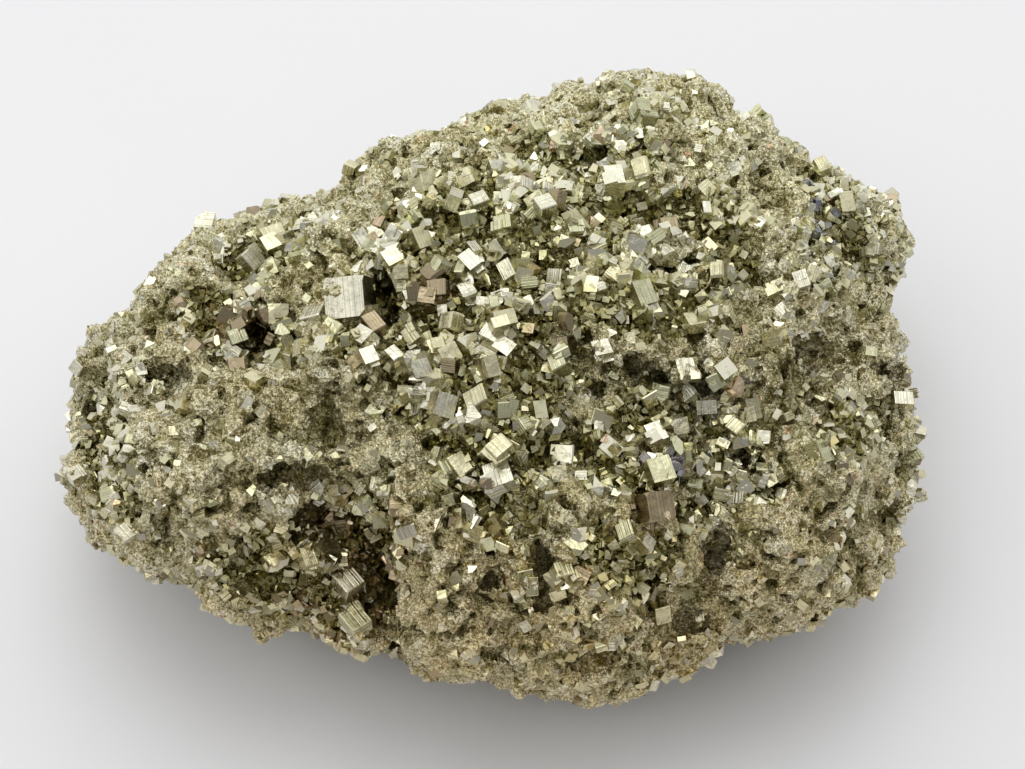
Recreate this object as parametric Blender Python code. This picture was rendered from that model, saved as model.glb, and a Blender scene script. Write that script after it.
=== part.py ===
"""Pyrite cluster: one loose hand specimen, a lump of massive pyrite crusted with intergrown crystals.

Run with: blender --background --python part.py
Metres, +Z up. X runs along the lump, Y away from the side it is shown from, and the origin is the
middle of the flat that it rests on. The whole specimen grew as one piece, so it is one solid.
"""

import math
import random

import bmesh
import bpy
import numpy as np
from mathutils import Euler, Matrix, Vector, noise
from mathutils.bvhtree import BVHTree

MM = 0.001

# Driving dimensions, in millimetres and degrees.
CENTRE_HEIGHT = 27.5  # of the middle of the girdle, above the surface it rests on
SHOWN_FROM_ABOVE = 55.0  # the display face is laid out as seen from this far above the horizon
SIGHT_DISTANCE = 366.0  # from the eye to the middle of the girdle
SIGHT_OFFSET = 3.7  # the eye stands this far towards +X
GIRDLE_TILT = 14.0  # the widest line round the lump rises this steeply towards the back
FRONT_SWELL = 33.0  # from the girdle's plane to the crown of the display face
BACK_SWELL = 34.0  # from the girdle's plane to the underside, before the flat is cut
FULLNESS = 0.84  # 1 is an ellipsoid, less is boxier
CRUST = 0.7  # how far the small crystals stand out past the rock along its outline

# The girdle as seen from the eye: millimetres across and up from its middle, clockwise from the left tip.
GIRDLE = [
    (-65.0, -14.5), (-63.0, -9.5), (-63.5, -4.0), (-62.0, 2.0), (-59.5, 8.0), (-56.5, 10.5),
    (-53.0, 15.0), (-49.5, 19.0), (-47.5, 22.0), (-44.0, 23.5), (-40.0, 24.5), (-36.5, 26.5),
    (-31.0, 26.5), (-27.0, 29.0), (-23.0, 30.5), (-18.0, 35.5), (-10.0, 37.5), (-5.5, 37.0),
    (-2.5, 41.5), (0.5, 43.5), (5.0, 42.5), (8.5, 41.5), (11.5, 44.5), (16.5, 45.5),
    (20.0, 49.5), (25.0, 48.5), (32.5, 47.0), (35.5, 44.0), (37.0, 41.0), (41.0, 39.5),
    (46.5, 35.5), (54.0, 34.0), (57.5, 30.0), (61.5, 28.5), (64.0, 22.0), (62.5, 17.0),
    (61.5, 10.5), (61.0, 5.0), (60.5, 1.5), (63.0, 0.0), (64.5, -6.0), (65.2, -12.5),
    (64.5, -19.0), (61.5, -26.5), (57.5, -32.5), (51.5, -35.5), (44.0, -36.5), (34.5, -41.0),
    (26.5, -44.5), (20.0, -47.5), (15.0, -49.5), (11.0, -47.5), (5.0, -46.0), (-3.0, -46.5),
    (-9.5, -44.0), (-13.0, -40.0), (-14.0, -37.5), (-16.5, -40.0), (-20.0, -41.0), (-24.5, -38.0),
    (-29.0, -36.0), (-35.0, -37.5), (-41.0, -34.5), (-43.5, -31.0), (-50.5, -29.5), (-57.5, -26.5),
    (-61.5, -21.5),
]

# Broad forms of the display face: across, up, half width, half height, turn in degrees, height.
SWELLS = {
    "crown": (6.0, 6.0, 26.0, 20.0, 20.0, 2.5),
    "upper_left_shoulder": (-33.0, 17.0, 14.0, 7.0, 25.0, 2.5),
    "top_knob": (24.0, 41.0, 9.0, 6.0, 0.0, 5.0),
    "top_left_knob": (3.0, 36.0, 8.0, 5.0, 0.0, 3.0),
    "right_rib": (44.0, 16.0, 5.0, 15.0, 4.0, 4.0),
    "right_valley": (55.0, 10.0, 6.0, 12.0, 12.0, -6.5),
    "lower_right_lobe": (52.0, -16.0, 12.0, 14.0, 0.0, 5.0),
    "lower_left_lobe": (-52.0, -16.0, 13.0, 12.0, 0.0, 3.5),
    "front_ridge": (-10.0, -26.0, 6.5, 19.0, 28.0, 5.0),
    "front_lobe": (20.0, -31.0, 11.0, 13.0, 10.0, 4.0),
    "front_gully": (35.0, -25.0, 4.5, 13.0, 12.0, -4.5),
    "vug_floor": (-23.0, -28.0, 9.0, 9.0, -20.0, -9.0),
    "left_gully": (-38.0, 5.0, 4.0, 10.0, -38.0, -2.5),
    "middle_trough": (30.0, -3.0, 15.0, 5.0, -12.0, -3.0),
}

# Hollows with sharp rims: across, up, half width, half height, turn in degrees, depth.
HOLLOWS = {
    "vug_roof": (-22.5, -22.0, 8.5, 4.0, -28.0, 9.0),
    "vug_back": (-17.5, -31.0, 4.0, 8.0, 12.0, 10.0),
    "vug_left": (-29.5, -14.5, 5.5, 2.8, -18.0, 6.0),
    "cleft": (-14.6, -40.5, 1.6, 4.2, 16.0, 26.0),
    "pit_by_great_cube": (-15.6, 14.4, 2.4, 5.2, 4.0, 8.0),
    "pit_left": (-34.2, 7.2, 3.0, 2.8, 0.0, 6.5),
    "left_ledge": (-49.0, 1.6, 4.6, 1.5, -8.0, 5.0),
    "pit_far_left": (-60.0, -3.0, 1.8, 3.2, 20.0, 4.0),
    "middle_crack": (8.1, -29.3, 1.5, 5.4, 2.0, 7.0),
    "pit_under_knob": (14.0, 34.5, 6.0, 2.2, 8.0, 6.0),
    "pit_right_of_crown": (28.5, 18.8, 6.5, 2.2, 5.0, 6.0),
    "trough_left": (25.0, 1.6, 5.2, 2.0, -25.0, 6.5),
    "trough_middle": (32.5, 0.0, 3.4, 2.0, -30.0, 6.5),
    "pit_below_trough": (27.0, -9.0, 4.0, 1.7, 20.0, 5.0),
    "pit_lower": (29.0, -13.6, 3.0, 2.2, 0.0, 5.0),
    "pit_right": (39.5, -11.4, 2.6, 1.7, -20.0, 5.0),
    "gully_head": (34.0, -26.5, 1.8, 4.8, 8.0, 7.0),
    "gully_foot": (31.5, -36.0, 3.4, 1.6, 20.0, 5.0),
    "right_cleft": (49.8, 22.0, 1.6, 6.5, -12.0, 6.0),
    "right_notch": (52.0, 4.6, 8.0, 3.2, 6.0, 9.0),
    "right_nick": (60.5, 2.4, 3.0, 1.6, 0.0, 6.0),
    "small_black_hole": (0.6, -29.6, 1.2, 1.3, 0.0, 5.0),
    "foot_hollow": (16.0, -42.5, 4.5, 2.2, 35.0, 5.0),
}

# Crystals that stand out: across, up, edge length, turn about the line of sight, tip to the top, lean to the left.
GREAT_CRYSTALS = [
    (-20.8, 12.9, 5.8, 2.0, 8.0, -18.0),
    (-17.3, 8.9, 3.0, 24.0, 30.0, 20.0),
    (-11.2, 7.4, 2.8, 35.0, 20.0, -15.0),
    (-7.6, 5.9, 2.4, 8.0, 35.0, 10.0),
    (-5.6, 9.4, 3.0, -20.0, 15.0, 35.0),
    (2.0, 9.7, 3.0, 12.0, 12.0, 25.0),
    (2.3, 5.4, 3.3, -35.0, 25.0, -10.0),
    (-7.1, -3.2, 3.4, -20.0, 10.0, 25.0),
    (-1.2, -2.4, 3.3, 30.0, 35.0, -20.0),
    (2.6, -3.6, 2.7, 4.0, -15.0, 20.0),
    (1.8, -9.7, 3.0, 40.0, 25.0, 10.0),
    (-6.2, -12.7, 2.8, 15.0, 20.0, 35.0),
    (1.8, -14.0, 3.6, 20.0, 30.0, -5.0),
    (-9.4, 3.3, 3.4, 10.0, -20.0, -30.0),
    (-18.1, 4.1, 2.5, 15.0, 20.0, 15.0),
    (-14.2, 4.1, 2.5, 30.0, 30.0, 20.0),
    (-10.7, 14.2, 2.7, 2.0, -12.0, -25.0),
    (-7.5, 14.5, 2.7, 5.0, 15.0, -20.0),
    (-3.3, 13.8, 3.0, 20.0, 35.0, 15.0),
    (-32.6, 21.8, 3.3, 12.0, 22.0, 25.0),
    (-18.7, 22.2, 2.4, 30.0, 10.0, -15.0),
    (-14.4, 18.9, 2.7, 25.0, 30.0, 10.0),
    (-9.8, 30.5, 3.3, 5.0, 10.0, 40.0),
    (-3.3, 31.0, 3.0, 25.0, 15.0, -20.0),
    (-1.4, 27.5, 3.0, 20.0, 35.0, 15.0),
    (-3.2, 25.2, 3.1, 10.0, -10.0, 10.0),
    (2.6, 24.5, 2.7, 12.0, 15.0, -25.0),
    (-10.4, 22.0, 3.1, 15.0, 10.0, 35.0),
    (-2.7, 18.3, 2.8, 35.0, 25.0, 15.0),
    (3.2, 17.2, 3.0, 32.0, 20.0, -15.0),
    (13.0, 23.3, 2.5, 5.0, 30.0, 20.0),
    (27.1, 23.6, 3.4, 8.0, 25.0, 20.0),
    (23.3, 32.6, 3.1, 20.0, 20.0, -10.0),
    (19.0, 30.7, 3.4, 8.0, 40.0, 10.0),
    (23.3, 13.6, 3.3, 20.0, 12.0, 30.0),
    (17.1, 4.8, 3.0, 15.0, 35.0, 15.0),
    (11.5, 5.9, 3.1, 12.0, 10.0, -25.0),
    (10.9, 3.0, 2.8, 30.0, 30.0, -10.0),
    (30.1, 2.3, 2.7, 10.0, 25.0, 20.0),
    (34.9, 17.0, 2.8, 12.0, 20.0, -15.0),
    (25.4, -8.0, 3.3, 25.0, 30.0, 15.0),
    (25.8, -13.3, 3.6, 20.0, 15.0, 20.0),
    (29.3, -12.9, 3.0, 6.0, 35.0, 10.0),
    (25.1, -18.7, 4.1, 12.0, 5.0, 30.0),
    (21.2, -22.5, 2.7, 30.0, 30.0, -15.0),
    (11.2, -28.3, 2.8, 15.0, 20.0, 25.0),
    (6.4, -30.4, 2.4, 5.0, -10.0, 15.0),
    (34.6, -29.0, 2.7, 20.0, 25.0, 15.0),
    (40.0, -3.6, 2.8, 20.0, -5.0, 10.0),
    (33.3, -3.3, 2.7, 10.0, -5.0, -10.0),
    (-27.4, -26.3, 2.7, 6.0, 15.0, 25.0),
    (-21.2, -29.9, 3.4, 28.0, 15.0, 20.0),
    (-20.0, -35.8, 3.6, 25.0, 30.0, 15.0),
    (-30.8, -17.8, 3.7, 20.0, 10.0, 20.0),
    (-22.5, -21.9, 2.5, 15.0, 20.0, 30.0),
    (-62.2, -13.9, 3.0, 8.0, 35.0, 20.0),
    (-54.6, -22.8, 2.8, 20.0, 30.0, 15.0),
    (-55.0, 3.5, 2.5, 30.0, 30.0, 20.0),
    (-38.0, 7.0, 2.7, 10.0, 15.0, 15.0),
    (-35.8, 18.9, 3.4, 35.0, -5.0, 25.0),
    (54.0, 27.5, 3.0, 15.0, 10.0, 20.0),
    (50.5, 33.0, 2.8, 30.0, 30.0, 15.0),
    (43.5, 14.5, 2.5, 30.0, 20.0, 10.0),
    (62.5, -2.5, 2.7, 10.0, 25.0, 20.0),
]

# Crystals on the sides, the back and the underside, spread by a seeded rule.
SCATTERED_COUNT = 50
SCATTERED_EDGE = (2.2, 3.3)
SCATTERED_SPACING = 17.0  # degrees between two of them, seen from the middle of the lump
SCATTER_SEED = 11
FAR_OUT = 200.0  # a sight line to a scattered crystal starts this far from the middle
LARGE_FROM = 4.0  # the edge length from which a crystal is large: it stands out more, and has cut corners
LARGE_PROUD = 0.16  # of its edge length: how far a large crystal's centre lies outside the rock
SMALL_PROUD = -0.05  # of its edge length: the same for a small crystal, whose centre lies inside it
CORNER_CUT = 0.15  # of the edge length: the octahedron faces on a large crystal's corners

ROCK_LUMPS = ((12.5, 3.2), (6.5, 1.7))  # how far apart the rock's own lumps are, and how high
RIM_LUMPS = 0.5  # share of that height left at the girdle, so that the outline stays true
RIM_WIDTH = 0.3  # how far from the girdle, as a share of the height, its small bays and knobs reach
RIM_SMOOTHING = (-14.0, -7.0, 0.0, 7.0, 14.0)  # degrees over which the outline is averaged elsewhere
SKIN_KEEP = 0.19  # share of the fine sphere's faces that the rock keeps
PYRITE_COLOUR = (0.60, 0.57, 0.42, 1.0)

MIDDLE = Vector((0.0, 0.0, CENTRE_HEIGHT))
SIGHT = Vector((0.0, math.cos(math.radians(SHOWN_FROM_ABOVE)), -math.sin(math.radians(SHOWN_FROM_ABOVE))))
ACROSS = Vector((1.0, 0.0, 0.0))
UP_FACE = ACROSS.cross(SIGHT)
EYE = MIDDLE - SIGHT * SIGHT_DISTANCE + ACROSS * SIGHT_OFFSET
GIRDLE_NORMAL = Vector((0.0, -math.sin(math.radians(GIRDLE_TILT)), math.cos(math.radians(GIRDLE_TILT))))
LINE_ANGLES = np.array([math.atan2(v, u) for u, v in GIRDLE])
LINE_RADII = np.array([math.hypot(u, v) - CRUST for u, v in GIRDLE])
LINE_ORDER = np.argsort(LINE_ANGLES)


def clear_scene():
    for obj in list(bpy.data.objects):
        bpy.data.objects.remove(obj, do_unlink=True)


def collection(name):
    made = bpy.data.collections.new(name)
    bpy.context.scene.collection.children.link(made)
    return made


def object_from(bm, name, into):
    mesh = bpy.data.meshes.new(name)
    bm.to_mesh(mesh)
    bm.free()
    obj = bpy.data.objects.new(name, mesh)
    into.objects.link(obj)
    return obj


def sight_line(across, up):
    """The direction from the eye to a place on the display face."""
    return (MIDDLE + ACROSS * across + UP_FACE * up - EYE).normalized()


def girdle_radius(angle):
    """How far the girdle is from its middle, at an angle anticlockwise from +X as seen from the eye."""
    return float(np.interp(angle, LINE_ANGLES[LINE_ORDER], LINE_RADII[LINE_ORDER], period=2 * math.pi))


def outline_radius(angle, level):
    """The girdle's own radius beside it, and a smoothed one above and below."""
    smooth = sum(girdle_radius(angle + math.radians(a)) for a in RIM_SMOOTHING) / len(RIM_SMOOTHING)
    true_share = math.exp(-((level / RIM_WIDTH) ** 2))
    return smooth + (girdle_radius(angle) - smooth) * true_share


def swell(across, up):
    """The height of the broad forms at a place on the display face."""
    total = 0.0
    for u, v, half_wide, half_high, turn, height in SWELLS.values():
        c, s = math.cos(math.radians(turn)), math.sin(math.radians(turn))
        along = ((across - u) * c + (up - v) * s) / half_wide
        over = ((up - v) * c - (across - u) * s) / half_high
        total += height * math.exp(-(along * along + over * over))
    return total


def body_point(unit):
    """A point of the unit sphere, with Z towards the eye, carried to the rock's surface."""
    angle = math.atan2(unit.y, unit.x)
    level = math.sqrt(max(0.0, 1.0 - unit.z * unit.z)) ** FULLNESS
    radius = outline_radius(angle, unit.z) * level
    across, up = radius * math.cos(angle), radius * math.sin(angle)
    line = sight_line(across, up)
    on_girdle = EYE + line * ((MIDDLE - EYE).dot(GIRDLE_NORMAL) / line.dot(GIRDLE_NORMAL))
    height = abs(unit.z) ** FULLNESS
    if unit.z >= 0.0:
        return on_girdle - line * (FRONT_SWELL * height + swell(across, up) * min(1.0, 2.5 * unit.z))
    return on_girdle + line * BACK_SWELL * height


def lumpiness(point, level):
    """How far the rock's surface swells out at a point, from rounded lumps of two sizes."""
    rise = 0.0
    for apart, height in ROCK_LUMPS:
        nearest = noise.voronoi(point / apart)[0]
        rise += height * (0.72 - 2.4 * nearest[0] ** 2)
    return rise * (RIM_LUMPS + (1.0 - RIM_LUMPS) * min(1.0, level / RIM_WIDTH))


def rock(into):
    """The massive pyrite that the crystals grow from: a fine sphere carried to the lump's form and lumpiness."""
    bm = bmesh.new()
    bmesh.ops.create_icosphere(bm, subdivisions=6, radius=1.0)
    levels = {}
    for vert in bm.verts:
        levels[vert] = abs(vert.co.normalized().z)
        vert.co = body_point(vert.co.normalized())
    bm.normal_update()
    moved = {vert: vert.co + vert.normal * lumpiness(vert.co, levels[vert]) for vert in bm.verts}
    for vert, place in moved.items():
        vert.co = place * MM
    bmesh.ops.recalc_face_normals(bm, faces=bm.faces[:])
    obj = object_from(bm, "pyrite_cluster", into)
    skin = obj.modifiers.new("fewer_faces", "DECIMATE")
    skin.ratio = SKIN_KEEP
    return obj


def rock_tree(obj):
    graph = bpy.context.evaluated_depsgraph_get()
    return BVHTree.FromObject(obj, graph)


def hollow_cutter(name, tree, values, into):
    """A blunt lump that bites into the rock along the line of sight."""
    across, up, half_wide, half_high, turn, depth = values
    line = sight_line(across, up)
    hit = tree.ray_cast(EYE * MM, line)[0]
    bm = bmesh.new()
    bmesh.ops.create_icosphere(bm, subdivisions=2, radius=1.0)
    for vert in bm.verts:
        vert.co *= 1.0 + 0.22 * noise.noise(vert.co * 1.7 + Vector((across, up, 0.0)))
    stretch = Matrix.Diagonal((half_wide * MM, half_high * MM, depth * MM, 1.0))
    turned = Matrix.Rotation(math.radians(turn), 4, "Z")
    facing = (-line).to_track_quat("Z", "Y").to_matrix().to_4x4()
    bmesh.ops.transform(bm, verts=bm.verts[:], matrix=Matrix.Translation(hit) @ facing @ turned @ stretch)
    return object_from(bm, name, into)


def scattered_lines():
    """Seeded sight lines towards the middle of the lump, spaced apart and kept off the display face."""
    draw = random.Random(SCATTER_SEED)
    found = []
    while len(found) < SCATTERED_COUNT:
        out = Vector((draw.gauss(0, 1), draw.gauss(0, 1), draw.gauss(0, 1))).normalized()
        edge = draw.uniform(*SCATTERED_EDGE)
        angles = [draw.uniform(0, 90) for _ in range(3)]
        if out.dot(-SIGHT) > 0.62 or out.z < -0.80:
            continue
        if any(out.angle(other[0]) < math.radians(SCATTERED_SPACING) for other in found):
            continue
        found.append((out, edge, angles))
    return found


def crystal_form(edge):
    """A pyrite cube, whose corners are cut by octahedron faces when it is large."""
    bm = bmesh.new()
    bmesh.ops.create_cube(bm, size=edge * MM)
    if edge >= LARGE_FROM:
        bmesh.ops.bevel(
            bm, geom=bm.verts[:], offset=edge * CORNER_CUT * MM, offset_type="OFFSET",
            affect="VERTICES", segments=1, profile=0.5, material=-1,
        )
    return bm


def crystal(name, tree, start, line, edge, turned, into):
    """One crystal whose centre lies on a sight line, just proud of the rock that the line meets."""
    hit = tree.ray_cast(start * MM, line)[0]
    proud = LARGE_PROUD if edge >= LARGE_FROM else SMALL_PROUD
    centre = hit - line * (edge * proud * MM)
    bm = crystal_form(edge)
    bmesh.ops.transform(bm, verts=bm.verts[:], matrix=Matrix.Translation(centre) @ turned.to_4x4())
    return object_from(bm, name, into)


def face_turn(line, turn, tip, lean):
    """A crystal's attitude: turned about the line of sight, tipped back and leaned sideways."""
    facing = (-line).to_track_quat("Z", "Y").to_matrix()
    spin = Matrix.Rotation(math.radians(turn), 3, "Z")
    return facing @ spin @ Euler((math.radians(-tip), math.radians(lean), 0.0)).to_matrix()


def grow_crystals(tree, into):
    for index, (across, up, edge, turn, tip, lean) in enumerate(GREAT_CRYSTALS):
        line = sight_line(across, up)
        crystal(f"great_crystal_{index}", tree, EYE, line, edge, face_turn(line, turn, tip, lean), into)
    for index, (out, edge, angles) in enumerate(scattered_lines()):
        start = MIDDLE + out * FAR_OUT
        turned = Euler([math.radians(a) for a in angles]).to_matrix()
        crystal(f"scattered_crystal_{index}", tree, start, -out, edge, turned, into)


def base_block(into):
    """The block below the surface that the lump rests on, which cuts its flat."""
    side, deep = 0.3, 0.1
    bm = bmesh.new()
    bmesh.ops.create_cube(bm, size=1.0)
    stretch = Matrix.Diagonal((side, side, deep, 1.0))
    bmesh.ops.transform(bm, verts=bm.verts[:], matrix=Matrix.Translation((0.0, 0.0, -deep / 2)) @ stretch)
    return object_from(bm, "base_block", into)


def hide_helpers(group):
    group.hide_render = True
    for obj in group.objects:
        obj.hide_render = True
        obj.display_type = "WIRE"


def boolean(obj, name, operation, group):
    cut = obj.modifiers.new(name, "BOOLEAN")
    cut.operation = operation
    cut.operand_type = "COLLECTION"
    cut.collection = group
    cut.solver = "EXACT"


def body_of(face):
    """All the faces that are joined to a face."""
    found = {face}
    waiting = [face]
    while waiting:
        for edge in waiting.pop().edges:
            fresh = [other for other in edge.link_faces if other not in found]
            found.update(fresh)
            waiting.extend(fresh)
    return found


def fill_sealed_pockets(obj):
    """Crystals that meet over a hollow can seal a pocket in: the rock is solid there, so only its skin stays."""
    graph = bpy.context.evaluated_depsgraph_get()
    whole = bpy.data.meshes.new_from_object(obj.evaluated_get(graph))
    obj.modifiers.clear()
    bm = bmesh.new()
    bm.from_mesh(whole)
    outermost = min(bm.verts, key=lambda vert: vert.co.x)
    skin = body_of(outermost.link_faces[0])
    inner = [face for face in bm.faces if face not in skin]
    bmesh.ops.delete(bm, geom=inner, context="FACES")
    bm.to_mesh(whole)
    bm.free()
    obj.data = whole


def pyrite():
    material = bpy.data.materials.new("pyrite")
    material.use_nodes = True
    shader = material.node_tree.nodes["Principled BSDF"]
    shader.inputs["Base Color"].default_value = PYRITE_COLOUR
    shader.inputs["Metallic"].default_value = 1.0
    shader.inputs["Roughness"].default_value = 0.35
    return material


def main():
    clear_scene()
    specimen = collection("pyrite_specimen")
    hollows = collection("hollow_cutters")
    crystals = collection("crystals")
    below = collection("base_cutter")

    cluster = rock(specimen)
    tree = rock_tree(cluster)
    for name, values in HOLLOWS.items():
        hollow_cutter(name, tree, values, hollows)
    boolean(cluster, "hollows", "DIFFERENCE", hollows)
    bpy.context.view_layer.update()
    grow_crystals(rock_tree(cluster), crystals)
    boolean(cluster, "crystals", "UNION", crystals)
    fill_sealed_pockets(cluster)
    base_block(below)
    boolean(cluster, "resting_flat", "DIFFERENCE", below)
    cluster.data.materials.append(pyrite())
    for group in (hollows, crystals, below):
        hide_helpers(group)


main()
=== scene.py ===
import math
import random

import bmesh
import bpy
import numpy as np
from mathutils import Euler, Matrix, Quaternion, Vector, noise
from mathutils.bvhtree import BVHTree
from mathutils.kdtree import KDTree


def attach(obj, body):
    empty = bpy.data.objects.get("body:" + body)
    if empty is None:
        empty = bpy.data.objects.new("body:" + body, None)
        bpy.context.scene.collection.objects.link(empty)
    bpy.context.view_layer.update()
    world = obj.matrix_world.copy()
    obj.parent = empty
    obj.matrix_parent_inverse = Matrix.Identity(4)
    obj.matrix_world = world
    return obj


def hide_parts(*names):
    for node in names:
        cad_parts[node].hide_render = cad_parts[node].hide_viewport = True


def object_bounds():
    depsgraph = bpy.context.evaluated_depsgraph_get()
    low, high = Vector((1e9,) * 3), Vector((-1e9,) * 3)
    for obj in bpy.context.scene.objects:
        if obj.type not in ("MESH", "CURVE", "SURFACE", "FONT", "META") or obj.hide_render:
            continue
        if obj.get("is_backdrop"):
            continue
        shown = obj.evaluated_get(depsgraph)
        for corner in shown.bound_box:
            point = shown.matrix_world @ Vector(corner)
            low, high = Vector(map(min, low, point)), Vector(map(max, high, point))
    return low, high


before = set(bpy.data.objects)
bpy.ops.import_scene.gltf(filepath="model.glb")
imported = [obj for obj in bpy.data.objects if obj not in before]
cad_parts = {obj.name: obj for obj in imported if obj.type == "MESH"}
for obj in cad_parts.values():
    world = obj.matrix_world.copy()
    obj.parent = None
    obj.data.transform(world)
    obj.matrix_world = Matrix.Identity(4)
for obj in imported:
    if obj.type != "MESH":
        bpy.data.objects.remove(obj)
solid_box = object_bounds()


# The camera looks down on the lump from in front, along the line of sight that its display face was laid
# out on. Places on that face are millimetres across and up from the middle of the lump's widest line.
MM = 0.001
MIDDLE = Vector((0.0, 0.0, 27.5))
SHOWN_FROM_ABOVE = 55.0
SIGHT_DISTANCE = 366.0
SIGHT_OFFSET = 3.7
ACROSS = Vector((1.0, 0.0, 0.0))
SIGHT = Vector((0.0, math.cos(math.radians(SHOWN_FROM_ABOVE)), -math.sin(math.radians(SHOWN_FROM_ABOVE))))
UP_FACE = ACROSS.cross(SIGHT)
EYE = MIDDLE - SIGHT * SIGHT_DISTANCE + ACROSS * SIGHT_OFFSET

view = bpy.data.cameras.new("view")
view.lens = 85.0
view.sensor_width = 36.0
view.clip_start = 0.01
camera = bpy.data.objects.new("camera", view)
camera.location = EYE * MM
camera.rotation_euler = (math.radians(90.0 - SHOWN_FROM_ABOVE), 0.0, 0.0)
bpy.context.collection.objects.link(camera)
bpy.context.scene.camera = camera
bpy.context.scene.view_settings.view_transform = "Standard"


# A wide sheet of pale paper under the lump, and the soft white light of a small tent: bright above and
# behind, dim on the side of the camera, so the metal has something dark to mirror.
FLOOR_SIDE = 3.0
TOWARDS_BRIGHT = (-0.15, 0.72, 0.68)
LAMP_SIDE = 0.5
LAMPS_AIM = Vector((0.0, 0.0, 0.03))

bm = bmesh.new()
bmesh.ops.create_grid(bm, x_segments=1, y_segments=1, size=FLOOR_SIDE / 2)
sheet_mesh = bpy.data.meshes.new("paper_floor")
bm.to_mesh(sheet_mesh)
bm.free()
floor = bpy.data.objects.new("paper_floor", sheet_mesh)
bpy.context.collection.objects.link(floor)
floor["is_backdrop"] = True

paper = bpy.data.materials.new("paper")
paper.use_nodes = True
nodes, links = paper.node_tree.nodes, paper.node_tree.links
shader = nodes["Principled BSDF"]
shader.inputs["Roughness"].default_value = 0.9
shader.inputs["Specular IOR Level"].default_value = 0.2
place = nodes.new("ShaderNodeTexCoord")
fibre = nodes.new("ShaderNodeTexNoise")
fibre.inputs["Scale"].default_value = 14.0
fibre.inputs["Detail"].default_value = 4.0
tone = nodes.new("ShaderNodeValToRGB")
tone.color_ramp.elements[0].color = (0.81, 0.81, 0.815, 1.0)
tone.color_ramp.elements[1].color = (0.84, 0.84, 0.845, 1.0)
links.new(place.outputs["Object"], fibre.inputs["Vector"])
links.new(fibre.outputs["Fac"], tone.inputs["Fac"])
links.new(tone.outputs["Color"], shader.inputs["Base Color"])
floor.data.materials.append(paper)

world = bpy.data.worlds.new("light_tent")
bpy.context.scene.world = world
world.use_nodes = True
nodes, links = world.node_tree.nodes, world.node_tree.links
nodes.clear()
direction = nodes.new("ShaderNodeTexCoord")
towards_light = nodes.new("ShaderNodeVectorMath")
towards_light.operation = "DOT_PRODUCT"
towards_light.inputs[1].default_value = TOWARDS_BRIGHT
tent = nodes.new("ShaderNodeValToRGB")
tent.color_ramp.interpolation = "EASE"
tent.color_ramp.elements[0].position = 0.0
tent.color_ramp.elements[0].color = (0.40, 0.40, 0.41, 1.0)
tent.color_ramp.elements[1].position = 1.0
tent.color_ramp.elements[1].color = (1.16, 1.16, 1.17, 1.0)
middle_band = tent.color_ramp.elements.new(0.42)
middle_band.color = (0.97, 0.97, 0.98, 1.0)
sky = nodes.new("ShaderNodeBackground")
out = nodes.new("ShaderNodeOutputWorld")
links.new(direction.outputs["Generated"], towards_light.inputs[0])
links.new(towards_light.outputs["Value"], tent.inputs["Fac"])
links.new(tent.outputs["Color"], sky.inputs["Color"])
links.new(sky.outputs["Background"], out.inputs["Surface"])


def soft_light(name, place, power):
    """A square lamp outside the tent, turned to the middle of the lump."""
    lamp = bpy.data.lights.new(name, "AREA")
    lamp.shape = "SQUARE"
    lamp.size = LAMP_SIDE
    lamp.energy = power
    obj = bpy.data.objects.new(name, lamp)
    obj.location = place
    obj.rotation_euler = (LAMPS_AIM - Vector(place)).to_track_quat("-Z", "Y").to_euler()
    bpy.context.collection.objects.link(obj)


soft_light("overhead_lamp", (-0.04, 0.20, 0.80), 1.1)
soft_light("front_left_lamp", (-0.48, -0.28, 0.69), 0.5)


# The massive pyrite that carries the crystals: dense and finely granular, broken from the vein. It follows
# the solid all over, a little inside it, in small broken facets with steps, lumps and pores between them.
ROCK_GRID = 0.42
SOFTENING = 3
FACES_KEPT = 0.3
ROCK_INSET = 0.25
DRUSE_INSET = 1.2
BASE_LIMIT = 0.35
NOISE_SEED = 29

# The vector noise below takes its offsets from the clock unless it is given a seed.
noise.seed_set(NOISE_SEED)


def held(value):
    """A share, held between 0 and 1."""
    return max(0.0, min(1.0, value))


def face_place(point):
    """Where a point shows on the display face, across and up in millimetres."""
    from_eye = point - EYE
    reached = EYE + from_eye * (SIGHT_DISTANCE / from_eye.dot(SIGHT)) - MIDDLE
    return reached.dot(ACROSS), reached.dot(UP_FACE)


# Where the display face carries clear druse: across, up, half width, half height, turn in degrees.
DRUSE_FIELDS = [
    (-2.0, 12.0, 19.0, 21.0, -20.0),
    (1.0, -11.0, 10.0, 13.0, 10.0),
    (29.0, -10.5, 16.0, 11.0, -10.0),
    (24.5, 19.0, 16.0, 12.0, 15.0),
    (12.0, 32.0, 15.0, 6.5, 15.0),
    (-21.5, -27.0, 9.5, 13.0, -15.0),
    (-33.0, -28.0, 11.0, 6.5, 0.0),
    (-38.5, 9.0, 10.0, 6.0, -20.0),
    (-57.5, -11.0, 3.5, 12.0, 10.0),
    (-35.0, 19.5, 8.0, 3.5, 20.0),
    (52.5, 22.0, 6.0, 9.0, -10.0),
    (54.5, -7.0, 4.5, 6.0, 0.0),
    (20.0, -26.5, 9.0, 6.5, 0.0),
]


# How far the fields' edges wander in and out, their softness, and the size of the patches out of sight.
DRUSE_EDGE_AT = 1.12
DRUSE_EDGE_WIDTH = 0.35
HIDDEN_PATCH = 14.0
HIDDEN_SHIFT = Vector((3.0, 1.0, 7.0))


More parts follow.
